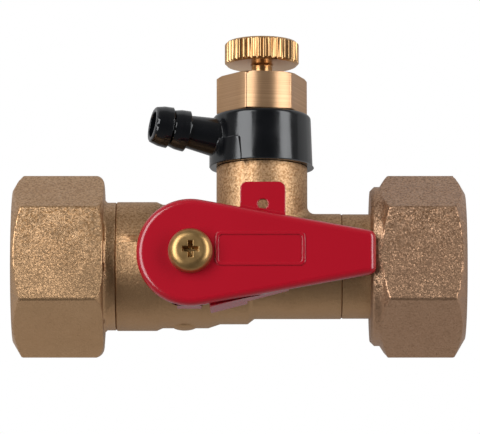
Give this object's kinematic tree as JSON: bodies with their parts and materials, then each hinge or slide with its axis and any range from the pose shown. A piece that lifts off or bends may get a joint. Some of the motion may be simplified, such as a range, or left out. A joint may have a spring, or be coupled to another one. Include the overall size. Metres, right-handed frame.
{
  "type": "expansion vessel quick coupling",
  "caption": "Brass ball valve coupling for a heating expansion vessel, with hexagon thread ends, a red lever, a loose union nut and a drain branch with swivel hose spout.",
  "frame": {"origin": "on the flow axis, where the inlet's inside thread begins", "axes": "+X along the flow from inlet to outlet, +Y up the drain branch, +Z along the stem towards the lever"},
  "size_m": [0.0842, 0.0598, 0.0344],
  "materials": {
    "forged_brass": "sand-grained forging",
    "turned_brass": "satin, turned",
    "polished_brass": "polished",
    "chromed_brass": "polished",
    "red_paint": "gloss",
    "plated_steel": "yellow plated",
    "black_plastic": "gloss",
    "white_ptfe": "matt",
    "black_rubber": "matt"
  },
  "bodies": {
    "valve": {"valve_body": "forged_brass", "inlet_end": "forged_brass", "inlet_seat": "white_ptfe", "outlet_seat": "white_ptfe", "outlet_tail": "turned_brass", "union_gasket": "black_rubber", "drain_bonnet": "turned_brass", "spout_seal_lower": "black_rubber", "spout_seal_upper": "black_rubber"},
    "lever": {"lever_handle": "red_paint", "lever_screw": "plated_steel", "stem": "turned_brass", "stem_seal_lower": "black_rubber", "stem_seal_upper": "black_rubber", "stem_thrust_washer": "white_ptfe", "ball": "chromed_brass"},
    "nut": {"union_nut": "forged_brass"},
    "spout": {"hose_spout": "black_plastic"},
    "washer": {"drain_washer": "black_rubber"},
    "screw": {"drain_screw": "polished_brass", "drain_screw_seal": "black_rubber"}
  },
  "joints": [
    {"name": "lever_turn", "type": "hinge", "parent": "valve", "child": "lever", "pos_m": [0.0322, 0, 0], "axis": [0, 0, -1], "range_deg": [0, 90]},
    {"name": "nut_spin", "type": "hinge", "parent": "valve", "child": "nut", "pos_m": [0.0743, 0, 0], "axis": [1, 0, 0], "continuous": true},
    {"name": "spout_swivel", "type": "hinge", "parent": "valve", "child": "spout", "pos_m": [0.0454, 0.0237, 0], "axis": [0, 1, 0], "continuous": true},
    {"name": "drain_lift", "type": "slide", "parent": "valve", "child": "washer", "axis": [0, 1, 0], "range_m": [0, 0.002]},
    {"name": "drain_turn", "type": "hinge", "parent": "washer", "child": "screw", "pos_m": [0.0454, 0.04, 0], "axis": [0, 1, 0], "range_deg": [-1, 721]}
  ],
  "couplings": [
    {"joint": "drain_turn", "follows": "drain_lift", "rad_per_m": 6283.2}
  ]
}
